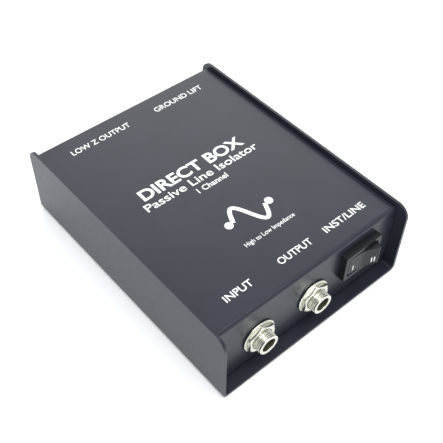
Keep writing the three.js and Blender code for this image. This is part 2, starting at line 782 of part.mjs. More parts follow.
function boardScrew() {
  const { from, shank, head, domeTop, side, shoulder, crown } = BOARD_SCREW;
  const { slotHalf, slotReach, slotFrom } = BOARD_SCREW;
  const under = BOARD_TOP + SEAT;
  const profile = [
    [0, from],
    [shank, from],
    [shank, under],
    [head, under],
    [head, under + side],
    [domeTop, under + shoulder],
    [0, under + crown],
  ];
  const slot = block(-slotReach, slotReach, -slotHalf, slotHalf, under + slotFrom, under + crown + PAST);
  return cut(turned(profile, 20), slot);
}

// The stack of iron plates with its two windows.
function transformerCore() {
  const { x, y, wide, tall, stack, leg, window, windowTall, corner } = CORE;
  const outline = roundedRectangle(x - wide / 2, x + wide / 2, CORE_LOW, CORE_LOW + tall, corner);
  const low = CORE_LOW + (tall - windowTall) / 2;
  const windows = [-1, 1].map((side) => {
    const middle = x + (side * (leg + window)) / 2;
    return block(middle - window / 2, middle + window / 2, y - stack, y + stack, low, low + windowTall);
  });
  return cut(alongY(outline, y - stack / 2, y + stack / 2, 2), ...windows);
}

const REEL = { wall: 0.7, cheek: 0.8, play: 0.15, reach: 10 };
const WINDING = { insetX: 0.3, insetY: 0.5, corner: 2.5 };
const REEL_LOW = CORE_LOW + (CORE.tall - CORE.windowTall) / 2 + REEL.play;
const REEL_HIGH = REEL_LOW + CORE.windowTall - 2 * REEL.play;
const REEL_X = CORE.leg / 2 + REEL.play;
const REEL_Y = CORE.stack / 2 + REEL.play;

function centredBlock(halfX, halfY, z0, z1) {
  return block(CORE.x - halfX, CORE.x + halfX, CORE.y - halfY, CORE.y + halfY, z0, z1);
}

function transformerBobbin() {
  const { wall, cheek, play, reach } = REEL;
  const cheekX = CORE.leg / 2 + CORE.window - play;
  const tube = centredBlock(REEL_X + wall, REEL_Y + wall, REEL_LOW, REEL_HIGH);
  const low = centredBlock(cheekX, reach, REEL_LOW, REEL_LOW + cheek);
  const high = centredBlock(cheekX, reach, REEL_HIGH - cheek, REEL_HIGH);
  return cut(join(tube, low, high), centredBlock(REEL_X, REEL_Y, REEL_LOW - PAST, REEL_HIGH + PAST));
}

function transformerWinding() {
  const { wall, cheek, play, reach } = REEL;
  const halfX = CORE.leg / 2 + CORE.window - play - WINDING.insetX;
  const [z0, z1] = [REEL_LOW + cheek + SEAT, REEL_HIGH - cheek - SEAT];
  const halfY = reach - WINDING.insetY;
  const [x0, x1] = [CORE.x - halfX, CORE.x + halfX];
  const outline = roundedRectangle(x0, x1, CORE.y - halfY, CORE.y + halfY, WINDING.corner);
  const hole = centredBlock(REEL_X + wall + SEAT, REEL_Y + wall + SEAT, z0 - PAST, z1 + PAST);
  return cut(alongZ(outline, z0, z1, 5), hole);
}

// The strap over the core, whose tabs go through the board.
function transformerStrap() {
  const { thick, wide, tab, tabOut, lap } = STRAP;
  const { x, y } = CORE;
  const top = CORE_LOW + CORE.tall + FIT;
  const halfX = STRAP_X + thick;
  const bridge = block(x - halfX, x + halfX, y - wide / 2, y + wide / 2, top, top + thick);
  const legs = [-1, 1].flatMap((side) => {
    const inner = x + side * STRAP_X;
    const outer = inner + side * thick;
    const [x0, x1] = side > 0 ? [inner, outer] : [outer, inner];
    return [
      block(x0, x1, y - wide / 2, y + wide / 2, BOARD_TOP + SEAT, top + lap),
      block(x0, x1, y - tab / 2, y + tab / 2, BOARD.bottom - tabOut, BOARD_TOP + 2 * WELD),
    ];
  });
  return join(bridge, ...legs);
}

function resistor() {
  const { radius, waist, cap, taper, length, lift, span, lead } = RESISTOR;
  const z = BOARD_TOP + lift;
  const half = length / 2;
  const profile = [
    [0, -half],
    [radius, -half],
    [radius, -half + cap],
    [waist, -half + taper],
    [waist, half - taper],
    [radius, half - cap],
    [radius, half],
    [0, half],
  ];
  const body = turned(profile, 12).rotateY(Math.PI / 2).translate(0, 0, z);
  const bar = rod(lead, -span / 2, span / 2, 0, 0, 8).rotateY(Math.PI / 2).translate(0, 0, z);
  const legs = [-1, 1].map((end) => rod(lead, BOARD.bottom - LEAD_OUT, z + lead, (end * span) / 2, 0, 8));
  return join(body, bar, ...legs);
}

function liftCapacitor() {
  const { x, y, wide, deep, tall, pitch, lead, lift, corner } = CAPACITOR;
  const z0 = BOARD_TOP + lift;
  const outline = roundedRectangle(x - wide / 2, x + wide / 2, z0, z0 + tall, corner);
  const low = BOARD.bottom - LEAD_OUT;
  const legs = [-1, 1].map((end) => rod(lead, low, z0 + 2 * WELD, x + (end * pitch) / 2, y, 8));
  return join(alongY(outline, y - deep / 2, y + deep / 2, 3), ...legs);
}

function boardAssembly() {
  const posts = POST_PLACES.flatMap(([x, y], i) => {
    const post = part(`board_post_${i + 1}`, boardPost(), FINISH.zinc);
    const screw = part(`board_screw_${i + 1}`, boardScrew(), FINISH.zinc);
    post.position.set(x, y, 0);
    screw.position.set(x, y, 0);
    return [post, screw];
  });
  const resistors = RESISTORS.map(({ name, x, y }) => {
    const piece = part(name, resistor(), FINISH.resistor);
    piece.position.set(x, y, 0);
    return piece;
  });
  return groupOf(
    part("circuit_board", circuitBoard(), FINISH.board),
    part("transformer_core", transformerCore(), FINISH.iron),
    part("transformer_bobbin", transformerBobbin(), FINISH.blackNylon),
    part("transformer_winding", transformerWinding(), FINISH.varnishedCopper),
    part("transformer_strap", transformerStrap(), FINISH.zinc),
    part("lift_capacitor", liftCapacitor(), FINISH.film),
    ...resistors,
    ...posts,
  );
}

// ---------------------------------------------------------------- hook-up wires

const WIRE = { radius: 0.65, sides: 8, padZ: 8.8, step: 2.6, roughness: 0.5 };

// Each route runs from just clear of its solder lug to just above its pad on the board.
const WIRES = [
  {
    name: "wire_input_tip",
    color: 0xd8d4c8,
    route: [
      [-27.6, -25.5, 11.5],
      [-27.2, -22.5, 12.4],
      [-25.2, -18.6, 14.6],
      [-22.6, -14.8, 14.2],
      [-20.6, -11.6, 11.2],
      [-20.2, -11, WIRE.padZ],
    ],
  },
  {
    name: "wire_output_tip",
    color: 0xc2452e,
    route: [
      [1.9, -25.5, 11.5],
      [1.2, -22.5, 12.6],
      [-3, -18.8, 14.8],
      [-8.4, -15.4, 14.6],
      [-13, -12.2, 11.4],
      [-13.6, -11.4, WIRE.padZ],
    ],
  },
  {
    name: "wire_level_switch",
    color: 0x3f73b8,
    route: [
      [27.4, -39.4, 22.5],
      [27, -35.6, 22.2],
      [24.4, -28, 20.4],
      [19.4, -19.6, 17.4],
      [14.6, -13.2, 12.6],
      [14, -12, WIRE.padZ],
    ],
  },
  {
    name: "wire_xlr_hot",
    color: 0xc2452e,
    route: [
      [-18.8, 39.2, 22.4],
      [-18.6, 36, 22.2],
      [-17.4, 31.6, 19.6],
      [-15.6, 27.6, 15.6],
      [-14.2, 24.6, 11.2],
      [-14, 24, WIRE.padZ],
    ],
  },
  {
    name: "wire_xlr_cold",
    color: 0xe7e2d6,
    route: [
      [-25.1, 39.2, 18.6],
      [-24.8, 36, 18.4],
      [-22.8, 31.8, 16.6],
      [-20.4, 28, 13.6],
      [-18.8, 24.8, 10.8],
      [-18.6, 24.2, WIRE.padZ],
    ],
  },
  {
    name: "wire_ground_lift",
    color: 0x2f8a4a,
    route: [
      [23, 42, 22.5],
      [22.8, 38.4, 22.2],
      [20.4, 33, 20],
      [16.4, 28.6, 15.8],
      [12.8, 25, 11.2],
      [12.4, 24.4, WIRE.padZ],
    ],
  },
];

function wire({ name, color, route }) {
  const path = new THREE.CatmullRomCurve3(route.map((point) => new THREE.Vector3(...point)));
  const section = new THREE.Shape();
  section.absarc(0, 0, WIRE.radius, 0, 2 * Math.PI);
  const steps = Math.round(path.getLength() / WIRE.step);
  const options = { steps, curveSegments: WIRE.sides, extrudePath: path, bevelEnabled: false };
  const finish = { color, roughness: WIRE.roughness, metalness: 0 };
  return part(name, new THREE.ExtrudeGeometry(section, options), finish);
}

// ---------------------------------------------------------------- the whole box

const group = groupOf(
  casing(),
  jack("input_jack", JACK.inputX),
  jack("output_jack", JACK.outputX),
  onFrontPanel(
    LEVEL_SWITCH.x,
    LEVEL_SWITCH.z,
    ...rockerSwitch("level_switch", [-SWITCH.bladePitch, 0, SWITCH.bladePitch]),
  ),
  onRearPanel(LIFT_SWITCH.x, LIFT_SWITCH.z, ...rockerSwitch("lift_switch", [0, SWITCH.bladePitch])),
  onRearPanel(XLR.x, XLR.z, xlrSocket()),
  boardAssembly(),
  ...WIRES.map(wire),
);

export default group;
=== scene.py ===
"""A passive direct injection box: folded and powder-coated steel, two jacks, two rockers and an XLR.

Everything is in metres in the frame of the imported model, with sizes named in millimetres.
"""

from __future__ import annotations

import json
import logging
import math
from collections.abc import Sequence
from dataclasses import dataclass
from enum import Enum

import bmesh
import bpy
from mathutils import Matrix, Vector

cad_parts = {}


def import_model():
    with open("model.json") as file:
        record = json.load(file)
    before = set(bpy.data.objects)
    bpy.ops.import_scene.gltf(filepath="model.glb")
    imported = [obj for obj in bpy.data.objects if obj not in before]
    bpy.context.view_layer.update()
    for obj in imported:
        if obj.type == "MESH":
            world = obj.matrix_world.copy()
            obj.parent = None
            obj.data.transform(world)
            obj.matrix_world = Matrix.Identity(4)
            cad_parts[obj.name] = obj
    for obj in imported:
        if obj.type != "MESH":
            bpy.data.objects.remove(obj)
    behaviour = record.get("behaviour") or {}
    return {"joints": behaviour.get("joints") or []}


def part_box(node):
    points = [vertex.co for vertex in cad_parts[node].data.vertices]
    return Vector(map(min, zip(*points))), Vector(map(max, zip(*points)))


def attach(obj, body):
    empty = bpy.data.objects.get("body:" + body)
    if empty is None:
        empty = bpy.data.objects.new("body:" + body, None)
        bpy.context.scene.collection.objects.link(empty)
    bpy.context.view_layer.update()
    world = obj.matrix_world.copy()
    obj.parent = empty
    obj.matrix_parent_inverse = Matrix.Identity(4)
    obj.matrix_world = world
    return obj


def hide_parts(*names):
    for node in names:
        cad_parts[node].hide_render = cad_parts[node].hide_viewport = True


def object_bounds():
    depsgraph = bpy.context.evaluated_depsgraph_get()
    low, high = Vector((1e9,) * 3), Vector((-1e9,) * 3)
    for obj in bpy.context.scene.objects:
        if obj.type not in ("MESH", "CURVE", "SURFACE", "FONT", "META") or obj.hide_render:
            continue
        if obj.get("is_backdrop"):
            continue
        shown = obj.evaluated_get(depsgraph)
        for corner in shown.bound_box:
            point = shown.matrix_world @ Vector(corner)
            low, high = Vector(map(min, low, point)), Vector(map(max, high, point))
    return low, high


MM = 0.001
LOG = logging.getLogger("direct_box")

Mesh = bmesh.types.BMesh
Socket = bpy.types.NodeSocket
Ring = list[Vector]
Colour = tuple[float, float, float]

EVEN = (1.0, 1.0, 1.0)  # a pattern that isn't stretched
PATTERN_SPAN = (0.3, 0.7)  # where most of a noise pattern's values lie
PATCH_SPAN = (0.35, 0.65)  # where the faint patches of colour change over
COARSE_OCTAVES = 3.0
FINE_OCTAVES = 2.0
ROUGHNESS_SHARE = 0.1  # the share by which a roughness varies
ROUGHNESS_GRAINS = 2  # how many grains wide its variation is
WAVE_TURN = 20  # radians that a wave pattern turns in one metre at a scale of 1

SAME_POINT = 1e-7  # points of a skin that are closer than this, in metres, are one point
SAME_CORNER = 2e-6  # the same for the corners of a frame node's loose triangles
SAME_LETTER_POINT = 1e-6  # the same for letters, before they have their size
FLAT_ANGLE = 0.5  # faces that turn by fewer degrees than this are one flat face

CREST_SHARE = 0.3  # a thread ridge's radius over its pitch
THREAD_STEPS = 40  # spans in one turn of a thread
WIRE_SIDES = 8  # sides of a thin swept section


# ---------------------------------------------------------------- finishes


class Surface(Enum):
    """The kinds of surface. A brushed one has long grains and a laminated one has bands."""

    POWDER = "powder"
    PLATED = "plated"
    BRUSHED = "brushed"
    MOULDED = "moulded"
    LAMINATED = "laminated"
    PRINTED = "printed"


class Graph:
    """A short way to write a material's node tree."""

    def __init__(self, material: bpy.types.Material) -> None:
        """Opens a material's tree.

        Args:
            material: The material, with nodes already in use.
        """
        self.tree = material.node_tree
        self.shader = self.tree.nodes["Principled BSDF"]

    def add(self, kind: str, **values: object) -> bpy.types.Node:
        """Adds a node and sets its properties.

        Args:
            kind: The node's type name, without its ShaderNode prefix.
            values: Properties of the node and what to set them to.

        Returns:
            The new node.
        """
        node = self.tree.nodes.new("ShaderNode" + kind)
        for key, value in values.items():
            setattr(node, key, value)
        return node

    def link(self, source: Socket, target: Socket) -> None:
        """Joins two sockets.

        Args:
            source: The output socket.
            target: The input socket.
        """
        self.tree.links.new(source, target)

    def noise(self, scale: float, detail: float, stretch: Sequence[float]) -> Socket:
        """Adds a noise pattern on the piece's own coordinates.

        Args:
            scale: Grains per metre.
            detail: Octaves of finer noise.
            stretch: How the coordinates are scaled along X, Y and Z.

        Returns:
            The noise's value socket.
        """
        place = self.add("TexCoord")
        mapping = self.add("Mapping")
        mapping.inputs["Scale"].default_value = stretch
        pattern = self.add("TexNoise")
        pattern.inputs["Scale"].default_value = scale
        pattern.inputs["Detail"].default_value = detail
        self.link(place.outputs["Object"], mapping.inputs["Vector"])
        self.link(mapping.outputs["Vector"], pattern.inputs["Vector"])
        return pattern.outputs["Fac"]

    def bands(self, pitch: float) -> Socket:
        """Adds bands across Y.

        Args:
            pitch: Distance from band to band in metres.

        Returns:
            The bands' value socket.
        """
        place = self.add("TexCoord")
        wave = self.add("TexWave", wave_type="BANDS", bands_direction="Y")
        wave.inputs["Scale"].default_value = 2 * math.pi / (WAVE_TURN * pitch)
        self.link(place.outputs["Object"], wave.inputs["Vector"])
        return wave.outputs["Fac"]

    def spread(self, value: Socket, low: float, high: float) -> Socket:
        """Maps a pattern from its usual span to another.

        Args:
            value: The pattern.
            low: The result where the pattern is low.
            high: The result where the pattern is high.

        Returns:
            The mapped socket.
        """
        span = self.add("MapRange")
        ends = zip(("From Min", "From Max", "To Min", "To Max"), (*PATTERN_SPAN, low, high))
        for key, end in ends:
            span.inputs[key].default_value = end
        self.link(value, span.inputs["Value"])
        return span.outputs["Result"]


MADE: dict[str, bpy.types.Material] = {}  # the materials made so far, by the name of their finish


@dataclass(frozen=True)
class Finish:
    """One finish, made as one procedural material.

    Grain, depth and patch are in millimetres; mottle is the share by which the colour varies.
    """

    slot: str
    name: str
    colour: Colour
    roughness: float
    metallic: float = 0.0
    surface: Surface = Surface.PLATED
    grain: float = 0.5
    depth: float = 0.004
    mottle: float = 0.06
    patch: float = 14.0
    specular: float = 0.5

    STRETCH = {Surface.BRUSHED: (1.0, 0.06, 1.0)}

    def material(self) -> bpy.types.Material:
        """Makes the material the first time, and finds it afterwards.

        Returns:
            The finish's material.
        """
        if self.name in MADE:
            return MADE[self.name]
        material = bpy.data.materials.new(self.name)
        MADE[self.name] = material
        material.use_nodes = True
        graph = Graph(material)
        graph.shader.inputs["Metallic"].default_value = self.metallic
        graph.shader.inputs["Specular IOR Level"].default_value = self.specular
        self._colour(graph)
        self._roughness(graph)
        self._relief(graph)
        return material

    def _colour(self, graph: Graph) -> None:
        """Varies the colour in broad, faint patches.

        Args:
            graph: The material's graph.
        """
        patches = graph.noise(1 / (self.patch * MM), COARSE_OCTAVES, EVEN)
        ramp = graph.add("ValToRGB")
        changes = (-self.mottle, self.mottle)
        for stop, change, position in zip(ramp.color_ramp.elements, changes, PATCH_SPAN):
            stop.color = (*(part * (1 + change) for part in self.colour), 1.0)
            stop.position = position
        graph.link(patches, ramp.inputs["Fac"])
        graph.link(ramp.outputs["Color"], graph.shader.inputs["Base Color"])

    def _roughness(self, graph: Graph) -> None:
        """Varies the roughness with the grain.

        Args:
            graph: The material's graph.
        """
        grains = graph.noise(1 / (ROUGHNESS_GRAINS * self.grain * MM), FINE_OCTAVES, EVEN)
        low, high = (self.roughness * (1 + change) for change in (-ROUGHNESS_SHARE, ROUGHNESS_SHARE))
        varied = graph.spread(grains, low, high)
        graph.link(varied, graph.shader.inputs["Roughness"])

    def _relief(self, graph: Graph) -> None:
        """Raises the fine grain, or the bands of a stack of plates.

        Args:
            graph: The material's graph.
        """
        if self.surface is Surface.LAMINATED:
            height = graph.bands(self.grain * MM)
        else:
            stretch = self.STRETCH.get(self.surface, EVEN)
            height = graph.noise(1 / (self.grain * MM), COARSE_OCTAVES, stretch)
        bump = graph.add("Bump")
        bump.inputs["Distance"].default_value = self.depth * MM
        graph.link(height, bump.inputs["Height"])
        graph.link(bump.outputs["Normal"], graph.shader.inputs["Normal"])


POWDER_COAT = Finish(
    "powder_coat",
    "black_powder_coat",
    (0.019, 0.021, 0.031),
    0.33,
    surface=Surface.POWDER,
    grain=0.45,
    depth=0.012,
    mottle=0.07,
    specular=0.34,
)
BLACK_SCREW = Finish("blackened_screw", "black_oxide", (0.03, 0.03, 0.033), 0.38, 0.6, Surface.PLATED, 0.3)
NICKEL = Finish("bright_nickel", "plated_nickel", (0.74, 0.74, 0.65), 0.2, 1.0, Surface.PLATED, 0.35, 0.002)
# painted shade: the bore's nickel is much darker for the shade inside the hole; its higher roughness is the
# real drawn finish
BORE_PAINTED_SHADE = Finish(
    "bright_nickel", "drawn_nickel_painted_shade", (0.15, 0.14, 0.09), 0.5, 0.85, Surface.PLATED, 0.2, 0.01, 0.15, 2
)
FIBRE = Finish("brown_fibre", "waxed_fibre", (0.1, 0.045, 0.02), 0.6, 0.0, Surface.MOULDED, 0.3, 0.02, 0.2, 3)
BRONZE = Finish("spring_bronze", "rolled_bronze", (0.5, 0.4, 0.2), 0.28, 1.0, Surface.BRUSHED, 0.2, 0.003)
BRASS = Finish("bare_brass", "satin_brass", (0.57, 0.4, 0.12), 0.3, 1.0, Surface.BRUSHED, 0.2, 0.003)
NYLON = Finish(
    "black_nylon",
    "moulded_nylon",
    (0.011, 0.0115, 0.014),
    0.3,
    surface=Surface.MOULDED,
    grain=0.25,
    depth=0.006,
    specular=0.2,
)
ZINC = Finish("zinc_plate", "bright_zinc", (0.48, 0.5, 0.54), 0.3, 1.0, Surface.PLATED, 0.4, 0.004, 0.1, 4)
LAMINATE = Finish("green_laminate", "solder_mask", (0.008, 0.07, 0.028), 0.32, 0.0, Surface.MOULDED, 0.6)
IRON = Finish("core_iron", "varnished_iron", (0.09, 0.09, 0.1), 0.4, 0.7, Surface.LAMINATED, 0.5, 0.06)
COPPER = Finish("varnished_copper", "enamelled_copper", (0.36, 0.09, 0.02), 0.25, 0.8, Surface.PLATED, 0.3)
RESISTOR = Finish("resistor_lacquer", "blue_lacquer", (0.11, 0.26, 0.4), 0.4, 0.0, Surface.MOULDED, 0.4)
FILM = Finish("film_capacitor", "dipped_epoxy", (0.26, 0.02, 0.008), 0.3, 0.0, Surface.MOULDED, 0.5, 0.02)
WIRES = {
    shade: Finish(f"{shade}_wire", f"{shade}_insulation", colour, 0.5, 0.0, Surface.MOULDED, 0.3)
    for shade, colour in (
        ("white", (0.62, 0.58, 0.5)),
        ("red", (0.4, 0.02, 0.01)),
        ("blue", (0.02, 0.07, 0.3)),
        ("green", (0.01, 0.15, 0.03)),
    )
}
INK = Finish("powder_coat", "white_ink", (0.82, 0.82, 0.82), 0.55, 0.0, Surface.PRINTED, 0.2, 0.004, 0.02)


# ---------------------------------------------------------------- mesh work


def ring(half_u: float, half_v: float, radius: float, w: float, steps: int = 8) -> Ring:
    """Points round a rectangle with round corners, which is a circle where the three sizes are equal.

    Args:
        half_u: Half its width.
        half_v: Half its height.
        radius: Its corner radius.
        w: Its height above the panel.
        steps: Spans in each corner.

    Returns:
        The points, anticlockwise.
    """
    points = []
    for corner, (side_u, side_v) in enumerate(((1, 1), (-1, 1), (-1, -1), (1, -1))):
        for step in range(steps + 1):
            angle = math.radians(90) * (corner + step / steps)
            u = side_u * (half_u - radius) + radius * math.cos(angle)
            v = side_v * (half_v - radius) + radius * math.sin(angle)
            points.append(Vector((u, v, w)) * MM)
    return points


def edge_rings(half_u: float, half_v: float, w: float, rows: Sequence[Sequence[float]]) -> list[Ring]:
    """Rings that round an edge of a rectangle.

    Args:
        half_u: Half the rectangle's width.
        half_v: Half its height.
        w: The edge's height above the panel.
        rows: For each ring, how far it is outwards and upwards of the edge, and its corner radius.

    Returns:
        The rings, in the rows' order.
    """
    return [ring(half_u + out, half_v + out, radius, w + rise) for out, rise, radius in rows]


def loft(rings: Sequence[Ring], caps: bool = True) -> Mesh:
    """Skins a row of rings that have equal numbers of points.

    Args:
        rings: The rings, in order.
        caps: Whether the two ends are closed; if not, the last ring is joined to the first.

    Returns:
        The closed mesh.
    """
    mesh = bmesh.new()
    rows = [[mesh.verts.new(point) for point in points] for points in rings]
    pairs = list(zip(rows, rows[1:]))
    if not caps:
        pairs.append((rows[-1], rows[0]))
    for low, high in pairs:
        for i in range(len(low)):
            j = (i + 1) % len(low)
            mesh.faces.new((low[i], low[j], high[j], high[i]))
    if caps:
        mesh.faces.new(list(reversed(rows[0])))
        mesh.faces.new(rows[-1])
    bmesh.ops.remove_doubles(mesh, verts=mesh.verts, dist=SAME_POINT)
    bmesh.ops.recalc_face_normals(mesh, faces=mesh.faces)
    return mesh


def turned(profile: Sequence[tuple[float, float]], caps: bool = True, sides: int = 64) -> Mesh:
    """Turns a profile of radii and heights about W.

    Args:
        profile: Pairs of radius and height in millimetres.
        caps: Whether the two ends are flat discs; if not, the profile closes on itself.
        sides: Spans round the axis, a multiple of four.

    Returns:
        The closed mesh.
    """
    return loft([ring(r, r, r, w, sides // 4) for r, w in profile], caps)


def prism(outline: Sequence[tuple[float, float]], low: float, high: float) -> Mesh:
    """Extrudes an outline of (u, w) points along V.

    Args:
        outline: The points in millimetres.
        low: Where it starts.
        high: Where it ends.

    Returns:
        The closed mesh.
    """
    return loft([[Vector((u, v, w)) * MM for u, w in outline] for v in (low, high)])


def join(whole: Mesh, *others: Mesh) -> Mesh:
    """Adds meshes to the first one, and frees them.

    Args:
        whole: The mesh that grows.
        others: The meshes to add.

    Returns:
        The first mesh.
    """
    for other in others:
        carrier = bpy.data.meshes.new("carrier")
        other.to_mesh(carrier)
        other.free()
        whole.from_mesh(carrier)
        bpy.data.meshes.remove(carrier)
    return whole


def soften(mesh: Mesh, width: float, segments: int = 2, angle: float = 40.0) -> Mesh:
    """Rounds the sharp edges.

    Args:
        mesh: The mesh to change.
        width: Width of the rounding in millimetres.
        segments: Spans across it.
        angle: The least turn, in degrees, that counts as sharp.

    Returns:
        The same mesh.
    """
    least = math.radians(angle)
    sharp = [e for e in mesh.edges if len(e.link_faces) == 2 and e.calc_face_angle(0.0) > least]
    bmesh.ops.bevel(
        mesh,
        geom=sharp,
        offset=width * MM,
        segments=segments,
        profile=0.5,
        affect="EDGES",
        clamp_overlap=True,
    )
    return mesh


def merged_copy(node: str) -> Mesh:
    """Copies a frame node's loose triangles into a clean mesh with its flat faces whole.

    Args:
        node: The node's name.

    Returns:
        The copy.
    """
    mesh = bmesh.new()
    mesh.from_mesh(bpy.data.objects[node].data)
    bmesh.ops.remove_doubles(mesh, verts=mesh.verts, dist=SAME_CORNER)
    flat = math.radians(FLAT_ANGLE)
    bmesh.ops.dissolve_limit(mesh, angle_limit=flat, verts=mesh.verts, edges=mesh.edges)
    return mesh


def flattened(obj: bpy.types.Object) -> bpy.types.Mesh:
    """Evaluates an object with its modifiers as a plain mesh.

    Args:
        obj: The object.

    Returns:
        The new mesh.
    """
    graph = bpy.context.evaluated_depsgraph_get()
    return bpy.data.meshes.new_from_object(obj.evaluated_get(graph), depsgraph=graph)


def finished(
    name: str,
    mesh: Mesh,
    finish: Finish,
    body: str,
    stands_for: Sequence[str] = (),
    sharp: float = 38.0,
) -> bpy.types.Object:
    """Makes a mesh a finished piece of the box.

    Args:
        name: The piece's name.
        mesh: Its mesh in place, which is freed.
        finish: Its finish.
        body: The body that it moves with.
        stands_for: The frame nodes that it is shown in place of.
        sharp: Edges that turn by more degrees than this stay crisp.

    Returns:
        The piece.
    """
    data = bpy.data.meshes.new(name)
    mesh.to_mesh(data)
    mesh.free()
    data.materials.append(finish.material())
    for face in data.polygons:
        face.use_smooth = True
    data.set_sharp_from_angle(angle=math.radians(sharp))
    piece = bpy.data.objects.new(name, data)
    bpy.context.scene.collection.objects.link(piece)
    weighted = piece.modifiers.new("even", "WEIGHTED_NORMAL")
    weighted.keep_sharp = True
    piece.data = flattened(piece)
    piece.modifiers.clear()
    piece.data.name = name
    if stands_for:
        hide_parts(*stands_for)
    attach(piece, body)
    LOG.info("%s: %d faces", name, len(piece.data.polygons))
    return piece


def soft_copy(node: str, name: str, finish: Finish, width: float, spans: int = 2) -> None:
    """Makes a copy with rounded edges stand for a frame node of the box.

    Args:
        node: The node.
        name: The copy's name.
        finish: Its finish.
        width: Width of its rounded edges in millimetres.
        spans: Spans across them.
    """
    finished(name, soften(merged_copy(node), width, spans), finish, "box", [node])


def dress(finish: Finish, *nodes: str) -> None:
    """Gives frame nodes a finish.

    Args:
        finish: The finish.
        nodes: Names of the nodes.
    """
    for node in nodes:
        obj = bpy.data.objects[node]
        obj.data.materials.clear()
        obj.data.materials.append(finish.material())
        LOG.info("%s: %s", node, finish.name)


# ---------------------------------------------------------------- places on the panels


@dataclass(frozen=True)
class Seat:
    """A place on a panel, in metres, with U to its right, V up and W outwards."""

    x: float
    y: float
    z: float
    rear: bool = False

    @classmethod
    def of(cls, node: str, rear: bool = False) -> Seat:
        """Finds the seat of a node that is centred on its place.

        Args:
            node: The node's name.
            rear: Whether it is on the rear panel.

        Returns:
            The seat on the panel's outer face.
        """
        low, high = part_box(node)
        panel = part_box("top_cover")[1 if rear else 0].y
        return cls((low.x + high.x) / 2, panel, (low.z + high.z) / 2, rear)

    def matrix(self) -> Matrix:
        """Returns the turn and the shift that take U, V and W to the frame."""
        turn = Matrix.Rotation(math.pi, 4, "Z") if self.rear else Matrix.Identity(4)
        return Matrix.Translation((self.x, self.y, self.z)) @ turn @ Matrix.Rotation(math.pi / 2, 4, "X")


# ---------------------------------------------------------------- what Geometry Nodes make


class NodeTree:
    """A Geometry Nodes tree that is built here and turned into a plain mesh."""

    def __init__(self, name: str, inputs: dict[str, float | int]) -> None:
        """Starts a tree with named inputs.

        Args:
            name: The tree's name.
            inputs: Each input's name and value.
        """
        self.tree = bpy.data.node_groups.new(name, "GeometryNodeTree")
        self.values = inputs
        for key, value in inputs.items():
            kind = "NodeSocketInt" if isinstance(value, int) else "NodeSocketFloat"
            self.tree.interface.new_socket(key, in_out="INPUT", socket_type=kind)
        self.tree.interface.new_socket("Geometry", in_out="OUTPUT", socket_type="NodeSocketGeometry")
        self.given = self.tree.nodes.new("NodeGroupInput")

    def add(self, kind: str, **links: object) -> bpy.types.Node:
        """Adds a node and feeds its inputs.

        Args:
            kind: The node's full type name.
            links: Input names, with _ for a space, and sockets or values for them.

        Returns:
            The new node.
        """
        node = self.tree.nodes.new(kind)
        for key, source in links.items():
            target = node.inputs[key.replace("_", " ")]
            if isinstance(source, Socket):
                self.tree.links.new(source, target)
            else:
                target.default_value = source
        return node

    def mesh(self, geometry: Socket, material: bpy.types.Material) -> Mesh:
        """Ends the tree, runs it and takes the result out.

        Args:
            geometry: The socket that holds the finished shape.
            material: The material that it is given.

        Returns:
            The result.
        """
        real = self.add("GeometryNodeRealizeInstances", Geometry=geometry)
        painted = self.add("GeometryNodeSetMaterial", Geometry=real.outputs[0], Material=material)
        end = self.tree.nodes.new("NodeGroupOutput")
        self.tree.links.new(painted.outputs[0], end.inputs[0])
        carrier = bpy.data.objects.new("carrier", bpy.data.meshes.new("carrier"))
        modifier = carrier.modifiers.new("nodes", "NODES")
        modifier.node_group = self.tree
        for item in self.tree.interface.items_tree:
            if item.in_out == "INPUT":
                modifier[item.identifier] = self.values[item.name]
        bpy.context.scene.collection.objects.link(carrier)
        result = flattened(carrier)
        made = bmesh.new()
        made.from_mesh(result)
        carrier.modifiers.clear()
        bpy.data.objects.remove(carrier)
        bpy.data.meshes.remove(result)
        return made


def thread(radius: float, pitch: float, low: float, high: float, finish: Finish) -> Mesh:
    """Winds a thread's ridge about W.

    Args:
        radius: Outer radius in millimetres.
        pitch: Rise in one turn.
        low: Where the ridge starts.
        high: Where it ends.
        finish: Its finish.

    Returns:
        The ridge.
    """
    crest = pitch * CREST_SHARE
    inputs = {
        "Turns": (high - low) / pitch,
        "Radius": (radius - crest) * MM,
        "Rise": (high - low) * MM,
        "Crest": crest * MM,
        "Steps": THREAD_STEPS,
    }
    nodes = NodeTree("thread_ridge", inputs)
    given = nodes.given.outputs
    helix = nodes.add(
        "GeometryNodeCurveSpiral",
        Resolution=given["Steps"],
        Rotations=given["Turns"],
        Start_Radius=given["Radius"],
        End_Radius=given["Radius"],
        Height=given["Rise"],
    )
    section = nodes.add("GeometryNodeCurvePrimitiveCircle", Resolution=WIRE_SIDES, Radius=given["Crest"])
    swept = nodes.add(
        "GeometryNodeCurveToMesh",
        Curve=helix.outputs[0],
        Profile_Curve=section.outputs[0],
        Fill_Caps=True,
    )
    made = nodes.mesh(swept.outputs[0], finish.material())
    bmesh.ops.translate(made, verts=made.verts, vec=(0, 0, low * MM))
    return made


# ---------------------------------------------------------------- casing


@dataclass
class Casing:
    """The folded tray, the folded cover and the screws under the box."""

    edge: float = 0.22
    edge_spans: int = 3
    screw_edge: float = 0.08
    screws: int = 4

    def build(self) -> None:
        """Makes the casing's pieces and dresses its screws."""
        for node, name in (("base_tray", "tray_shell"), ("top_cover", "cover_shell")):
            soft_copy(node, name, POWDER_COAT, self.edge, self.edge_spans)
        for number in range(1, self.screws + 1):
            soft_copy(f"cover_screw_{number}", f"countersunk_{number}", BLACK_SCREW, self.screw_edge)


# ---------------------------------------------------------------- printing


@dataclass(frozen=True)
class Legend:
    """A line of print that fills a box on the cover, in millimetres from the cover's middle line."""

    text: str
    left: float
    right: float
    base: float
    tall: float
    weight: float = 0.009


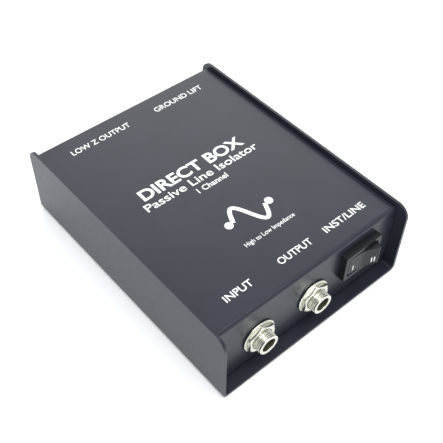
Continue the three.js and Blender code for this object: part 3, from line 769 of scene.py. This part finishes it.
@dataclass
class Printing:
    """The white print on the cover."""

    ink: float = 0.03
    rise: float = 0.004
    legends: tuple[Legend, ...] = (
        Legend("LOW Z OUTPUT", -36.2, -5.4, 51.0, 3.1),
        Legend("GROUND LIFT", 9.2, 36.8, 51.0, 3.1),
        Legend("DIRECT BOX", -28.8, 26.3, 9.2, 6.4, 0.026),
        Legend("Passive Line Isolator", -31.3, 29.4, 3.4, 4.2),
        Legend("1 Channel", -8.4, 7.6, -1.7, 3.0, 0.014),
        Legend("High to Low Impedance", -12.9, 13.6, -36.8, 2.8, 0.006),
        Legend("INPUT", -36.3, -22.7, -51.2, 3.3),
        Legend("OUTPUT", -8.6, 9.0, -51.2, 3.3),
        Legend("INST/LINE", 16.6, 39.6, -51.2, 3.3),
    )
    wave_middle: float = -23.0
    wave_half: float = 8.6
    wave_tall: float = 6.6
    wave_line: float = 1.9
    wave_steps: int = 64
    dot_place: float = 10.9
    dot_sides: int = 32

    def build(self) -> None:
        """Prints each line and the sign."""
        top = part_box("top_cover")[1].z
        for number, legend in enumerate(self.legends, 1):
            mesh = self.letters(legend)
            bmesh.ops.translate(mesh, verts=mesh.verts, vec=(0, 0, top + self.rise * MM))
            finished(f"print_{number}", mesh, INK, "box")
        sign = self.wave_sign()
        place = (0, self.wave_middle * MM, top + self.rise * MM)
        bmesh.ops.translate(sign, verts=sign.verts, vec=place)
        finished("print_wave_sign", sign, INK, "box")

    def letters(self, legend: Legend) -> Mesh:
        """Sets a line of letters as a thin solid.

        Args:
            legend: The line.

        Returns:
            The letters, standing on Z = 0.
        """
        curve = bpy.data.curves.new("letters", "FONT")
        curve.body = legend.text
        curve.offset = legend.weight
        curve.extrude = 0.5  # any thickness will do, because the real one is set below
        carrier = bpy.data.objects.new("letters", curve)
        bpy.context.scene.collection.objects.link(carrier)
        flat = flattened(carrier)
        bpy.data.objects.remove(carrier)
        mesh = bmesh.new()
        mesh.from_mesh(flat)
        bpy.data.meshes.remove(flat)
        bmesh.ops.remove_doubles(mesh, verts=mesh.verts, dist=SAME_LETTER_POINT)
        low = [min(v.co[i] for v in mesh.verts) for i in range(3)]
        high = [max(v.co[i] for v in mesh.verts) for i in range(3)]
        sizes = (legend.right - legend.left, legend.tall, self.ink)
        starts = (legend.left, legend.base, 0.0)
        for vertex in mesh.verts:
            for i in range(3):
                share = (vertex.co[i] - low[i]) / (high[i] - low[i])
                vertex.co[i] = (starts[i] + share * sizes[i]) * MM
        return mesh

    def wave_sign(self) -> Mesh:
        """Draws one cycle of a wave between two dots.

        Returns:
            The sign about the origin, standing on Z = 0.
        """
        spine = []
        for step in range(self.wave_steps + 1):
            along = 2 * step / self.wave_steps - 1
            spine.append((along * self.wave_half, -self.wave_tall * math.sin(math.pi * along)))
        wave = ribbon(spine, self.wave_line, self.ink)
        dots = []
        for side in (-1, 1):
            dot = turned([(self.wave_line, 0), (self.wave_line, self.ink)], sides=self.dot_sides)
            bmesh.ops.translate(dot, verts=dot.verts, vec=(side * self.dot_place * MM, 0, 0))
            dots.append(dot)
        return join(wave, *dots)


def ribbon(spine: Sequence[tuple[float, float]], wide: float, thick: float) -> Mesh:
    """Draws a flat line of even width.

    Args:
        spine: Its middle line in millimetres.
        wide: Its width.
        thick: Its thickness.

    Returns:
        The closed mesh, standing on Z = 0.
    """
    sections = []
    for i, (x, y) in enumerate(spine):
        before = Vector(spine[max(i - 1, 0)])
        after = Vector(spine[min(i + 1, len(spine) - 1)])
        along = (after - before).normalized()
        side = Vector((-along.y, along.x)) * wide / 2
        corners = ((1, 0), (-1, 0), (-1, thick), (1, thick))
        sections.append([Vector((x + side.x * s, y + side.y * s, w)) * MM for s, w in corners])
    return loft(sections)


# ---------------------------------------------------------------- jacks


@dataclass
class PhoneJack:
    """A quarter-inch jack: threaded bushing and bent frame, washer, nut, insulator and spring.

    Each rounding has pairs of how far a point is from the edge's radius and how far it is down.
    """

    LIP_ROUNDING = ((0.0, 0.2), (0.08, 0.07), (0.22, 0.0))
    MOUTH_ROUNDING = ((0.3, 0.0), (0.12, 0.06), (0.0, 0.3))
    WASHER_ROUNDING = ((0.0, 0.3), (0.12, 0.08), (0.35, 0.0))
    WASHER_HOLE_ROUNDING = ((0.25, 0.0), (0.15, 0.1))
    NUT_CHAMFER_DROPS = (0.62, 0.45, 0.3, 0.15, 0.0)

    prefix: str
    bushing: float = 4.75
    core: float = 4.42
    bore: float = 3.25
    reach: float = 6.4
    pitch: float = 0.75
    washer: float = 8.0
    washer_low: float = 0.1
    washer_high: float = 1.0
    lip: float = 4.7
    lip_long: float = 0.4
    lip_slope: float = 0.15
    thread_short: float = 0.35
    washer_fit: float = 0.15
    washer_roll: float = 0.25
    nut_flats: float = 12.7
    nut_low: float = 1.1
    nut_high: float = 2.8
    nut_fit: float = 0.12
    nut_mouth: float = 0.3
    nut_cone: float = 0.1
    past_corners: float = 9.0
    sides: int = 96
    frame_back: float = -2.5
    frame_front: float = -1.3
    frame_half: float = 7.0
    frame_corner: float = 2.0
    frame_lap: float = 0.4
    skirt_top: float = 4.5
    arm_drop: float = 10.2
    arm_length: float = 27.0
    arm_half: float = 4.0
    arm_metal: float = 1.2
    lug_reach: float = 33.0
    lug_half: float = 1.4
    lug_lap: float = 0.5
    lug_metal: float = 0.6
    strip_edge: float = 0.12
    bore_skin: float = 0.05
    crisp: float = 50.0

    def build(self) -> None:
        """Makes the jack and dresses its inner pieces."""
        place = Seat.of(f"{self.prefix}_washer").matrix()
        pieces = {"frame": self.frame(), "washer": self.flat_washer(), "nut": self.hex_nut()}
        for part, mesh in pieces.items():
            mesh.transform(place)
            node = f"{self.prefix}_{part}"
            piece = finished(f"{node}_piece", mesh, NICKEL, "box", [node], self.crisp)
            if part == "frame":
                self.roughen_and_shade_bore(piece, place)
        dress(FIBRE, f"{self.prefix}_insulator")
        dress(BRONZE, f"{self.prefix}_tip_spring")

    def roughen_and_shade_bore(self, piece: bpy.types.Object, place: Matrix) -> None:
        """Gives the bore's wall its duller, drawn finish, with painted shade: a much darker nickel colour
        that stands for the shade inside the bore.

        Args:
            piece: The frame's piece.
            place: The jack's place.
        """
        piece.data.materials.append(BORE_PAINTED_SHADE.material())
        back = place.inverted()
        for face in piece.data.polygons:
            centre = back @ face.center
            if math.hypot(centre.x, centre.y) < (self.bore + self.bore_skin) * MM:
                face.material_index = 1

    def frame(self) -> Mesh:
        """Makes the bushing with its thread, its plate, its arm and its solder lug.

        Returns:
            The mesh about the jack's axis.
        """
        lip_low = self.reach - self.lip_long
        profile = [
            (self.bore, self.frame_back),
            (self.core, self.frame_back),
            (self.core, lip_low - self.lip_slope),
            (self.lip, lip_low),
        ]
        profile += [(self.lip - inset, self.reach - drop) for inset, drop in self.LIP_ROUNDING]
        profile += [(self.bore + inset, self.reach - drop) for inset, drop in self.MOUTH_ROUNDING]
        tube = turned(profile, caps=False)
        ridge = thread(self.bushing, self.pitch, self.frame_front, lip_low - self.thread_short, NICKEL)
        plate = self.mounting_plate()
        arm = self.strip(self.arm_half, -self.arm_length, self.frame_front, self.arm_metal)
        lug_end = -self.arm_length + self.lug_lap
        lug = self.strip(self.lug_half, -self.lug_reach, lug_end, self.lug_metal)
        return join(tube, ridge, plate, arm, lug)

    def mounting_plate(self) -> Mesh:
        """Makes the square plate behind the panel, whose round hole laps the bushing, and its skirt.

        Returns:
            The mesh about the jack's axis.
        """
        hole = self.bushing - self.frame_lap
        low, high = self.frame_back, self.frame_front
        outer = self.frame_half
        rings = [
            ring(hole, hole, hole, low),
            ring(outer, outer, self.frame_corner, low),
            ring(outer, outer, self.frame_corner, high),
            ring(hole, hole, hole, high),
        ]
        skirt = self.strip(outer, low, high, self.arm_drop - self.skirt_top)
        return join(loft(rings, caps=False), skirt)

    def strip(self, half: float, low: float, high: float, tall: float) -> Mesh:
        """Makes a flat of the bent strip that starts at the arm's underside.

        Args:
            half: Half its width.
            low: Its end inside the box.
            high: Its end by the panel.
            tall: Its size upwards.

        Returns:
            The closed mesh with softened edges.
        """
        bottom = -self.arm_drop
        outline = [(-half, bottom), (half, bottom), (half, bottom + tall), (-half, bottom + tall)]
        rows = [[Vector((u, v, w)) * MM for u, v in outline] for w in (low, high)]
        return soften(loft(rows), self.strip_edge)

    def flat_washer(self) -> Mesh:
        """Makes the stamped washer, whose outer edge is a little rolled.

        Returns:
            The mesh about the jack's axis.
        """
        low, high, rim = self.washer_low, self.washer_high, self.washer
        profile = [
            (self.bushing + self.washer_fit, low),
            (rim - self.washer_roll, low),
            (rim, low + self.washer_roll),
        ]
        profile += [(rim - inset, high - drop) for inset, drop in self.WASHER_ROUNDING]
        profile += [(self.bushing + out, high - drop) for out, drop in self.WASHER_HOLE_ROUNDING]
        return turned(profile, caps=False, sides=self.sides)

    def hex_nut(self) -> Mesh:
        """Makes the nut, whose corners are chamfered by a cone.

        Returns:
            The mesh about the jack's axis.
        """
        apothem = self.nut_flats / 2
        hole = self.bushing + self.nut_fit
        mouth = hole + self.nut_mouth
        levels = [(self.nut_low, self.past_corners)]
        for drop in self.NUT_CHAMFER_DROPS:
            levels.append((self.nut_high - drop, apothem - self.nut_cone + drop * math.sqrt(3)))
        rings = [self.hex_ring(hole, hole, self.nut_low)]
        rings += [self.hex_ring(apothem, limit, w) for w, limit in levels]
        rings.append(self.hex_ring(mouth, mouth, self.nut_high))
        rings.append(self.hex_ring(hole, hole, self.nut_high - self.nut_mouth))
        return loft(rings, caps=False)

    def hex_ring(self, apothem: float, limit: float, w: float) -> Ring:
        """Points round a hexagon that a circle limits.

        Args:
            apothem: Distance from the middle to a flat.
            limit: Radius of the circle.
            w: Height above the panel.

        Returns:
            The points.
        """
        points = []
        for i in range(self.sides):
            angle = 2 * math.pi * i / self.sides
            off_flat = (angle + math.pi / 6) % (math.pi / 3) - math.pi / 6
            radius = min(apothem / math.cos(off_flat), limit)
            points.append(Vector((radius * math.cos(angle), radius * math.sin(angle), w)) * MM)
        return points


# ---------------------------------------------------------------- rocker switches


@dataclass
class RockerSwitch:
    """A snap-in rocker switch: bezel and body, rocker with its marks, plunger, bar and blades.

    The bezel's rows say how far each ring is outwards and upwards of its edge, and its corner radius.
    Travel is the range of the rocker's joint in degrees.
    """

    BEZEL_SIDE = ((0.0, 0.0, 0.9), (-0.06, 0.2, 0.86))
    BEZEL_TOP = ((0.08, -0.07, 0.7), (-0.1, 0.0, 0.6))
    BEZEL_MOUTH = ((0.2, 0.0, 0.35), (0.04, -0.1, 0.3), (0.0, -0.3, 0.3))

    prefix: str
    rear: bool
    blades: int
    travel: Sequence[float]
    seat_gap: float = 0.1
    half_long: float = 10.5
    half_high: float = 7.5
    corner: float = 0.9
    proud: float = 3.2
    rim: float = 0.3
    slope: float = 0.4
    cavity_long: float = 8.5
    cavity_high: float = 5.6
    cavity_corner: float = 0.3
    body_long: float = 9.3
    body_high: float = 6.3
    body_corner: float = 0.4
    depth: float = 13.0
    floor: float = 1.5
    pivot_out: float = 2.0
    pivot: float = 0.8
    rocker_end: float = 8.1
    rocker_half: float = 5.1
    kink: float = 1.5
    dish: float = 9.5
    dish_blend: float = 1.0
    dish_sink: float = 0.6
    face_steps: int = 24
    lip: float = 19.5
    skirt: float = -22.0
    skirt_steps: int = 10
    stem_half: float = 2.2
    stem_from: float = -3.1
    stem_to: float = -5.6
    edge: float = 0.3
    edge_spans: int = 3
    edge_angle: float = 30.0
    crisp: float = 32.0
    trunnion: float = 0.45
    trunnion_sides: int = 24
    mark_place: float = 5.0
    mark_drop: float = 2.0
    mark_tall: float = 2.8
    mark_line: float = 0.5
    mark_gap: float = 1.3
    ink_lift: float = 0.01
    ink_thick: float = 0.03

    def build(self) -> None:
        """Makes the switch and dresses its inner pieces."""
        seat = Seat.of(f"{self.prefix}_housing", self.rear).matrix()
        housing = self.housing()
        housing.transform(seat)
        finished(f"{self.prefix}_bezel", housing, NYLON, "box", [f"{self.prefix}_housing"])
        body = f"{self.prefix}_rocker"
        tilted = seat @ self.tilt()
        paddle = self.paddle()
        paddle.transform(tilted)
        finished(f"{self.prefix}_paddle", paddle, NYLON, body, [f"{self.prefix}_rocker"], self.crisp)
        marks = join(self.mark(-1, 1), self.mark(1, 2))
        marks.transform(tilted)
        finished(f"{self.prefix}_marks", marks, INK, body)
        dress(ZINC, f"{self.prefix}_plunger")
        dress(BRASS, f"{self.prefix}_contact_bar")
        dress(BRASS, *(f"{self.prefix}_terminal_{i + 1}" for i in range(self.blades)))

    def tilt(self) -> Matrix:
        """Returns the rocker's turn at rest, half its travel, about its pivot above the panel."""
        low, high = self.travel
        angle = math.radians(high - low) / 2
        return Matrix.Translation((0, 0, self.pivot_out * MM)) @ Matrix.Rotation(-angle, 4, "Y")

    def housing(self) -> Mesh:
        """Makes the bezel with its sloping rim and the hollow body behind it.

        Returns:
            The mesh about the switch's middle.
        """
        top, back = self.proud, -self.depth
        rings = [
            ring(self.body_long, self.body_high, self.body_corner, back),
            ring(self.body_long, self.body_high, self.body_corner, self.seat_gap),
            ring(self.half_long, self.half_high, self.corner, self.seat_gap),
        ]
        rings += edge_rings(self.half_long, self.half_high, top - self.slope, self.BEZEL_SIDE)
        rings += edge_rings(self.half_long - self.rim, self.half_high - self.rim, top, self.BEZEL_TOP)
        rings += edge_rings(self.cavity_long, self.cavity_high, top, self.BEZEL_MOUTH)
        rings.append(ring(self.cavity_long, self.cavity_high, self.cavity_corner, back + self.floor))
        return loft(rings)

    def face_height(self, u: float) -> float:
        """Height of the dished face.

        Args:
            u: Distance from the pivot along the rocker.

        Returns:
            The height over the pivot.
        """
        rise = math.tan(math.radians(self.dish))
        return self.kink + rise * (math.hypot(u, self.dish_blend) - self.dish_sink)

    def paddle(self) -> Mesh:
        """Makes the dished rocker about its pivot, with its two trunnions.

        Returns:
            The mesh, untilted.
        """
        lip, skirt = math.radians(self.lip), math.radians(self.skirt)
        end = self.rocker_end * math.cos(lip)
        places = [-end + 2 * end * i / self.face_steps for i in range(self.face_steps + 1)]
        face = [(u, self.face_height(u)) for u in places]
        steps = range(1, self.skirt_steps + 1)
        arc = [lip + (skirt - lip) * i / self.skirt_steps for i in steps]
        right = [(self.rocker_end * math.cos(a), self.rocker_end * math.sin(a)) for a in arc]
        half = self.stem_half
        stem = [(half, self.stem_from), (half, self.stem_to), (-half, self.stem_to), (-half, self.stem_from)]
        left = [(-u, w) for u, w in reversed(right)]
        solid = prism(face + right + stem + left, -self.rocker_half, self.rocker_half)
        body = soften(solid, self.edge, self.edge_spans, self.edge_angle)
        reach = self.rocker_half + self.trunnion
        trunnion = turned([(self.pivot, -reach), (self.pivot, reach)], sides=self.trunnion_sides)
        trunnion.transform(Matrix.Rotation(math.pi / 2, 4, "X"))
        return join(body, trunnion)

    def mark(self, side: int, strokes: int) -> Mesh:
        """Makes one end's printed strokes, laid on the dished face.

        Args:
            side: -1 for the left end and 1 for the right one.
            strokes: How many strokes.

        Returns:
            The strokes as thin solids.
        """
        made = bmesh.new()
        for number in range(strokes):
            middle = side * self.mark_place + (number - (strokes - 1) / 2) * self.mark_gap
            half = self.mark_line / 2
            low = [(u, self.face_height(u) + self.ink_lift) for u in (middle - half, middle + half)]
            high = [(u, w + self.ink_thick) for u, w in reversed(low)]
            bottom = -self.mark_drop - self.mark_tall / 2
            join(made, prism(low + high, bottom, bottom + self.mark_tall))
        return made


# ---------------------------------------------------------------- XLR


@dataclass
class XlrConnector:
    """The male XLR: shell, insert, three pins, screws and nuts."""

    shell_edge: float = 0.3
    insert_edge: float = 0.15
    pin_edge: float = 0.06
    screw_edge: float = 0.08
    nut_edge: float = 0.15
    pins: int = 3
    fixings: int = 2

    def build(self) -> None:
        """Makes the shell, the insert and the pins, and the screws and nuts that hold it."""
        soft_copy("xlr_shell", "xlr_housing", NICKEL, self.shell_edge)
        soft_copy("xlr_insert", "xlr_insulator", NYLON, self.insert_edge)
        for number in range(1, self.pins + 1):
            soft_copy(f"xlr_pin_{number}", f"xlr_contact_{number}", NICKEL, self.pin_edge)
        for number in range(1, self.fixings + 1):
            soft_copy(f"xlr_screw_{number}", f"xlr_fixing_{number}", BLACK_SCREW, self.screw_edge)
            soft_copy(f"xlr_nut_{number}", f"xlr_hexagon_{number}", ZINC, self.nut_edge)


# ---------------------------------------------------------------- electronics


@dataclass
class Electronics:
    """The board, the transformer, the small components, the posts and the hook-up wires."""

    posts: int = 4
    layers: int = 30
    corner: float = 2.5
    corner_steps: int = 5

    def build(self) -> None:
        """Makes the winding and dresses the rest."""
        self.winding()
        dress(LAMINATE, "circuit_board")
        dress(IRON, "transformer_core")
        dress(NYLON, "transformer_bobbin")
        dress(ZINC, "transformer_strap")
        dress(FILM, "lift_capacitor")
        dress(RESISTOR, "pad_resistor_1", "pad_resistor_2")
        for number in range(1, self.posts + 1):
            dress(ZINC, f"board_post_{number}", f"board_screw_{number}")
        dress(WIRES["white"], "wire_input_tip", "wire_xlr_cold")
        dress(WIRES["red"], "wire_output_tip", "wire_xlr_hot")
        dress(WIRES["blue"], "wire_level_switch")
        dress(WIRES["green"], "wire_ground_lift")

    def winding(self) -> None:
        """Winds the transformer's outer layer of wire round its reel."""
        low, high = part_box("transformer_winding")
        half_u, half_v = (high.x - low.x) / 2, (high.y - low.y) / 2
        radius = (high.z - low.z) / self.layers / 2
        middle = (low + high) / 2
        inputs = {
            "Turns": self.layers,
            "Pitch": radius * 2,
            "Wire": radius,
            "Width": 2 * (half_u - radius),
            "Depth": 2 * (half_v - radius),
            "Corner": self.corner * MM,
        }
        nodes = NodeTree("layered_winding", inputs)
        given = nodes.given.outputs
        loop = nodes.add(
            "GeometryNodeCurvePrimitiveQuadrilateral", Width=given["Width"], Height=given["Depth"]
        )
        rounded = nodes.add("GeometryNodeFilletCurve", Curve=loop.outputs[0], Radius=given["Corner"])
        rounded.mode = "POLY"
        rounded.inputs["Count"].default_value = self.corner_steps
        section = nodes.add("GeometryNodeCurvePrimitiveCircle", Resolution=WIRE_SIDES, Radius=given["Wire"])
        turn = nodes.add(
            "GeometryNodeCurveToMesh", Curve=rounded.outputs[0], Profile_Curve=section.outputs[0]
        )
        rise = nodes.add("ShaderNodeCombineXYZ", Z=given["Pitch"])
        column = nodes.add("GeometryNodeMeshLine", Count=given["Turns"], Offset=rise.outputs[0])
        stack = nodes.add("GeometryNodeInstanceOnPoints", Points=column.outputs[0], Instance=turn.outputs[0])
        made = nodes.mesh(stack.outputs[0], COPPER.material())
        bmesh.ops.translate(made, verts=made.verts, vec=(middle.x, middle.y, low.z + radius))
        finished("winding_turns", made, COPPER, "box", ["transformer_winding"])


# ---------------------------------------------------------------- studio


@dataclass(frozen=True)
class Lamp:
    """A square light that faces the box: its place and width in metres, and its power in watts."""

    name: str
    place: tuple[float, float, float]
    size: float
    power: float

    def hang(self) -> None:
        """Hangs the light."""
        data = bpy.data.lights.new(self.name, "AREA")
        data.size = self.size
        data.energy = self.power
        lamp = bpy.data.objects.new(self.name, data)
        lamp.location = self.place
        lamp.rotation_euler = (-Vector(self.place)).to_track_quat("-Z", "Y").to_euler()
        bpy.context.scene.collection.objects.link(lamp)


@dataclass
class Studio:
    """The camera, the soft lights and the pale floor."""

    azimuth: float = -41.41
    elevation: float = 48.55
    roll: float = 1.05
    distance: float = 333.571
    lens: float = 62.218
    sensor: float = 36.0
    nearest: float = 0.01
    target: tuple[float, float, float] = (-1.271, -7.448, 18.0)
    floor_size: float = 40.0
    floor_inset: float = 3.0
    floor_gap: float = 0.05
    floor_colour: Colour = (0.92, 0.93, 0.95)
    floor_roughness: float = 0.8
    world: float = 0.8
    world_colour: Colour = (0.95, 0.97, 1.0)
    lamps: tuple[Lamp, ...] = (
        Lamp("rear_softbox", (0.85, 0.95, 0.8), 1.1, 8.0),
        Lamp("overhead", (-0.3, -0.4, 1.6), 1.3, 22.0),
        Lamp("bend_glint", (0.6, -0.55, 1.1), 0.25, 1.2),
    )

    def build(self) -> None:
        """Sets up the stage."""
        self.camera()
        self.floor()
        self.lights()
        bpy.context.scene.view_settings.view_transform = "Standard"

    def camera(self) -> None:
        """Stands the camera on a sphere about the target, a little rolled."""
        azimuth, elevation, roll = (math.radians(a) for a in (self.azimuth, self.elevation, self.roll))
        level = math.cos(elevation)
        back = Vector((math.sin(azimuth) * level, -math.cos(azimuth) * level, math.sin(elevation)))
        right = (-back).cross(Vector((0, 0, 1))).normalized()
        up = right.cross(-back)
        across = right * math.cos(roll) + up * math.sin(roll)
        above = up * math.cos(roll) - right * math.sin(roll)
        data = bpy.data.cameras.new("camera")
        data.lens = self.lens
        data.sensor_width = self.sensor
        data.clip_start = self.nearest
        camera = bpy.data.objects.new("camera", data)
        turn = Matrix((across, above, back)).transposed().to_4x4()
        place = Vector(self.target) * MM + back * self.distance * MM
        camera.matrix_world = Matrix.Translation(place) @ turn
        bpy.context.scene.collection.objects.link(camera)
        bpy.context.scene.camera = camera

    def floor(self) -> None:
        """Lays the pale floor, open under the box so that its underside can be seen from below."""
        low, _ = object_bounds()
        tray_low, tray_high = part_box("base_tray")
        inset = self.floor_inset * MM
        far = self.floor_size / 2
        outer = [(-far, -far), (far, -far), (far, far), (-far, far)]
        x0, y0 = tray_low.x + inset, tray_low.y + inset
        x1, y1 = tray_high.x - inset, tray_high.y - inset
        inner = [(x0, y0), (x1, y0), (x1, y1), (x0, y1)]
        level = low.z - self.floor_gap * MM
        mesh = bpy.data.meshes.new("floor")
        faces = [(i, (i + 1) % 4, 4 + (i + 1) % 4, 4 + i) for i in range(4)]
        mesh.from_pydata([(x, y, level) for x, y in outer + inner], [], faces)
        material = bpy.data.materials.new("pale_floor")
        material.use_nodes = True
        shader = material.node_tree.nodes["Principled BSDF"]
        shader.inputs["Base Color"].default_value = (*self.floor_colour, 1)
        shader.inputs["Roughness"].default_value = self.floor_roughness
        mesh.materials.append(material)
        floor = bpy.data.objects.new("floor", mesh)
        bpy.context.scene.collection.objects.link(floor)
        floor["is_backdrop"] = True

    def lights(self) -> None:
        """Sets the pale surround and hangs the lights."""
        world = bpy.data.worlds.new("surround")
        world.use_nodes = True
        background = world.node_tree.nodes["Background"]
        background.inputs["Color"].default_value = (*self.world_colour, 1)
        background.inputs["Strength"].default_value = self.world
        bpy.context.scene.world = world
        for lamp in self.lamps:
            lamp.hang()


# ---------------------------------------------------------------- the whole box


def main() -> None:
    """Builds the box from its casing inwards, and then the studio."""
    logging.basicConfig(level=logging.INFO, format="%(name)s %(message)s")
    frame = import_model()
    travels = {joint["name"]: joint["range_deg"] for joint in frame["joints"]}
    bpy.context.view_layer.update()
    Casing().build()
    Printing().build()
    for prefix in ("input_jack", "output_jack"):
        PhoneJack(prefix).build()
    RockerSwitch("level_switch", False, 3, travels["level_switch_tilt"]).build()
    RockerSwitch("lift_switch", True, 2, travels["lift_switch_tilt"]).build()
    XlrConnector().build()
    Electronics().build()
    Studio().build()


if __name__ == "__main__":
    main()
